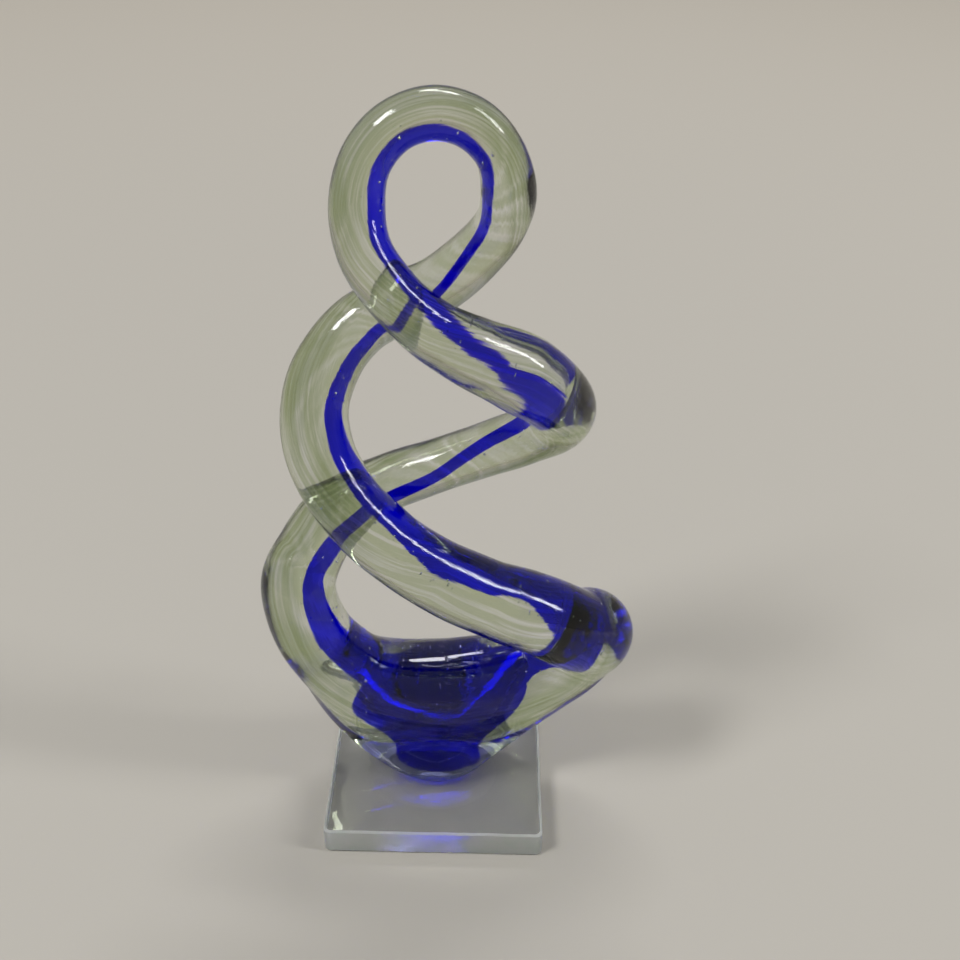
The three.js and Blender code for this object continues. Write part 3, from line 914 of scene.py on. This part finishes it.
def make_bubbles(route, casing_field, core):
    """Seed bubbles a little above the core, drawn out along the rope."""
    rng = random.Random(BUBBLE_SEED)
    picks = [rng.randrange(len(core.data.vertices)) for _ in range(BUBBLE_COUNT)]
    builder = bmesh.new()
    for pick in picks:
        vertex = core.data.vertices[pick]
        radius = BUBBLE_RADII[0] + (BUBBLE_RADII[1] - BUBBLE_RADII[0]) * rng.random() ** BUBBLE_RARITY
        depth = rng.uniform(*BUBBLE_DEPTHS) + radius
        place = np.array(vertex.co + vertex.normal * depth) - (0, 0, FOOT_LEVEL)
        if casing_field(place[None])[0][0] > -BUBBLE_COVER * radius:
            continue
        nearest = np.argmin(np.linalg.norm(route.places - place, axis=1))
        turn = Vector(route.tangents[nearest]).to_track_quat("Z", "Y").to_matrix().to_4x4()
        scale = Matrix.Diagonal((radius, radius, radius * rng.uniform(*BUBBLE_STRETCH), 1))
        move = Matrix.Translation(Vector(place + (0, 0, FOOT_LEVEL)))
        bmesh.ops.create_icosphere(
            builder, subdivisions=BUBBLE_SUBDIVISIONS, radius=1, matrix=move @ turn @ scale)
    mesh = built_mesh("seed_bubbles", builder)
    mesh.shade_smooth()
    finish_piece(add_object("seed_bubbles", mesh), [bubble_skin()])


def plate_corner(quarter, inset, turn):
    """A point on one of the plate's round corners, at a turn from +X."""
    sign_x, sign_y = PLATE_QUARTERS[quarter % 4]
    centre_x = sign_x * (PLATE_WIDTH / 2 - inset - PLATE_CORNER_RADIUS)
    centre_y = sign_y * (PLATE_DEPTH / 2 - inset - PLATE_CORNER_RADIUS)
    x = centre_x + PLATE_CORNER_RADIUS * math.cos(turn)
    y = centre_y + PLATE_CORNER_RADIUS * math.sin(turn)
    return Vector((x, y))


def ground_away(point, level):
    """A point of the plate's outline, moved in by the waves that grinding left."""
    angle = math.atan2(point.y, point.x)
    wave = 0
    for count, shift, climb, share in PLATE_WAVES:
        wave += share * math.sin(count * angle + shift + climb * level)
    return point * (1 + PLATE_WOBBLE * (wave - 1) / PLATE_WIDTH)


def plate_outline(inset, level):
    """The plate's outline at a level: a rectangle with round corners, a little wavy from grinding."""
    points = []
    for quarter in range(4):
        for step in range(PLATE_CORNER_STEPS + 1):
            turn = math.pi / 2 * (quarter + step / PLATE_CORNER_STEPS)
            points.append(plate_corner(quarter, inset, turn))
        start = points[-1]
        ahead = plate_corner(quarter + 1, inset, math.pi / 2 * (quarter + 1))
        points += [start.lerp(ahead, step / PLATE_SIDE_STEPS) for step in range(1, PLATE_SIDE_STEPS)]
    return [ground_away(point, level) for point in points]


def make_plate(bonded):
    """The plate: polished above and below, ground at its edges, and bonded in a disc under the foot."""
    levels = [
        (0, PLATE_BEVEL), (PLATE_BEVEL, 0), (PLATE_THICKNESS / 2, 0),
        (PLATE_THICKNESS - PLATE_BEVEL, 0), (PLATE_THICKNESS, PLATE_BEVEL),
    ]
    materials = [plate_glass(), ground_edge(), bonded]
    polished, ground, contact = range(len(materials))
    builder = bmesh.new()
    rings = []
    for level, inset in levels:
        rings.append([builder.verts.new((*point, level)) for point in plate_outline(inset, level)])
    disc = []
    for vertex in rings[-1]:
        angle = math.atan2(vertex.co.y - FOOT_SETBACK, vertex.co.x)
        x = CONTACT_RADIUS * math.cos(angle)
        y = FOOT_SETBACK + CONTACT_RADIUS * math.sin(angle)
        disc.append(builder.verts.new((x, y, PLATE_THICKNESS)))
    bands = [(lower, upper, ground) for lower, upper in zip(rings, rings[1:])]
    bands.append((rings[-1], disc, polished))
    for lower, upper, material in bands:
        for k in range(len(disc)):
            beside = (k + 1) % len(disc)
            face = builder.faces.new((lower[k], lower[beside], upper[beside], upper[k]))
            face.material_index = material
    builder.faces.new(rings[0][::-1]).material_index = polished
    builder.faces.new(disc).material_index = contact
    mesh = built_mesh("plate", builder)
    mesh.shade_smooth()
    mesh.set_sharp_from_angle(angle=PLATE_SHARP_ANGLE)
    finish_piece(add_object("plate", mesh), materials, ["base_plate"])


def film_place(angle, level):
    """A point on the film's rim."""
    radius = CONTACT_RADIUS
    for count, shift, share in FILM_WAVES:
        radius += CONTACT_RADIUS * share * math.sin(count * angle + shift)
    return radius * math.cos(angle), FOOT_SETBACK + radius * math.sin(angle), level


def make_film(bonded):
    """The clear adhesive between plate and foot, squeezed out to a slightly uneven disc."""
    angles = [2 * math.pi * step / FILM_STEPS for step in range(FILM_STEPS)]
    builder = bmesh.new()
    rings = []
    for level in (PLATE_THICKNESS + CONTACT_GAP, FOOT_LEVEL - CONTACT_GAP):
        rings.append([builder.verts.new(film_place(angle, level)) for angle in angles])
    for k in range(FILM_STEPS):
        beside = (k + 1) % FILM_STEPS
        builder.faces.new((rings[0][k], rings[0][beside], rings[1][beside], rings[1][k]))
    builder.faces.new(rings[0][::-1])
    builder.faces.new(rings[1])
    film = add_object("film", built_mesh("film", builder))
    finish_piece(film, [bonded], ["bond_film"])


# Studio

def make_floor():
    """A plain floor, which grows paler with distance to make up for the fall of the light."""
    builder = bmesh.new()
    bmesh.ops.create_circle(builder, cap_ends=True, segments=FLOOR_SEGMENTS, radius=FLOOR_RADIUS)
    mesh = built_mesh("floor", builder)
    floor = add_object("floor", mesh)
    floor.location.z = -FLOOR_GAP
    material, tree, shader = new_material("floor")
    reach = add_node(tree, "ShaderNodeVectorMath", {0: object_place(tree)}, operation="LENGTH")
    share = add_node(tree, "ShaderNodeMapRange", {
        "Value": reach.outputs["Value"], "From Min": FLOOR_NEAR, "From Max": FLOOR_FAR,
    }, interpolation_type="SMOOTHSTEP").outputs["Result"]
    colour = blend_colours(tree, share, FLOOR_COLOUR, FLOOR_FAR_COLOUR)
    tree.links.new(colour, shader.inputs["Base Color"])
    shader.inputs["Roughness"].default_value = FLOOR_ROUGHNESS
    mesh.materials.append(material)


def make_world():
    """A plain, dim studio, a little paler at the horizon and overhead."""
    world = bpy.data.worlds.new("studio")
    world.use_nodes = True
    tree = world.node_tree
    direction = add_node(tree, "ShaderNodeTexCoord").outputs["Generated"]
    shades = add_node(tree, "ShaderNodeValToRGB", {"Fac": one_axis(tree, direction, "Z")})
    stops = shades.color_ramp.elements
    stops[0].position = 0
    stops[0].color = (*WORLD_HORIZON, 1)
    stops[1].position = 1
    stops[1].color = (*WORLD_TOP, 1)
    stops.new(WORLD_MIDDLE_HEIGHT).color = (*WORLD_MIDDLE, 1)
    tree.links.new(shades.outputs["Color"], tree.nodes["Background"].inputs["Color"])
    bpy.context.scene.world = world


def make_softbox(name, place, size, power):
    lamp = bpy.data.lights.new(name, "AREA")
    lamp.shape = "RECTANGLE"
    lamp.size, lamp.size_y = size
    lamp.energy = power
    softbox = add_object(name, lamp)
    softbox.location = place
    aim = Vector(SOFTBOX_TARGET) - Vector(place)
    softbox.rotation_euler = aim.to_track_quat("-Z", "Y").to_euler()
    softbox.visible_camera = False


def make_camera():
    forward = Vector((
        math.sin(CAMERA_YAW) * math.cos(CAMERA_PITCH),
        math.cos(CAMERA_YAW) * math.cos(CAMERA_PITCH),
        -math.sin(CAMERA_PITCH),
    ))
    level_right = Vector((math.cos(CAMERA_YAW), -math.sin(CAMERA_YAW), 0))
    level_up = level_right.cross(forward)
    right = level_right * math.cos(CAMERA_ROLL) + level_up * math.sin(CAMERA_ROLL)
    up = level_up * math.cos(CAMERA_ROLL) - level_right * math.sin(CAMERA_ROLL)
    turn = Matrix((right, up, -forward)).transposed().to_4x4()
    data = bpy.data.cameras.new("camera")
    data.lens = CAMERA_LENS
    data.sensor_width = CAMERA_SENSOR
    camera = add_object("camera", data)
    camera.matrix_world = Matrix.Translation(CAMERA_PLACE) @ turn
    bpy.context.scene.camera = camera


def main():
    route = Route()
    web_sides = ((WEB_LEFT_REACH, WEB_LEFT_POWER), (WEB_RIGHT_REACH, WEB_RIGHT_POWER))
    fan_sides = ((FAN_LEFT_REACH, FAN_POWER), (FAN_RIGHT_REACH, FAN_POWER))
    web = SpreadField(WEB_HEIGHT, FOOT_RADIUS, *web_sides, WEB_HALF_DEPTH, WEB_ROUNDING)
    fan = SpreadField(FAN_HEIGHT, FAN_FOOT_RADIUS, *fan_sides, FAN_HALF_DEPTH, FAN_ROUNDING)
    casing_field = KnotField(route, route.places, route.rope, web, WEB_MELT, 0)
    core_field = KnotField(route, route.core_places, route.core, fan, FAN_MELT, FAN_LIFT)
    bonded = bonded_face_painted_shade()
    make_casing(route, casing_field, bonded)
    core = make_core(route, core_field)
    make_bubbles(route, casing_field, core)
    make_plate(bonded)
    make_film(bonded)
    make_floor()
    make_world()
    for name, place, size, power in SOFTBOXES:
        make_softbox(name, place, size, power)
    make_camera()
    scene = bpy.context.scene
    scene.view_settings.view_transform = "Standard"
    scene.cycles.max_bounces = LIGHT_BOUNCES
    scene.cycles.transmission_bounces = LIGHT_BOUNCES


main()
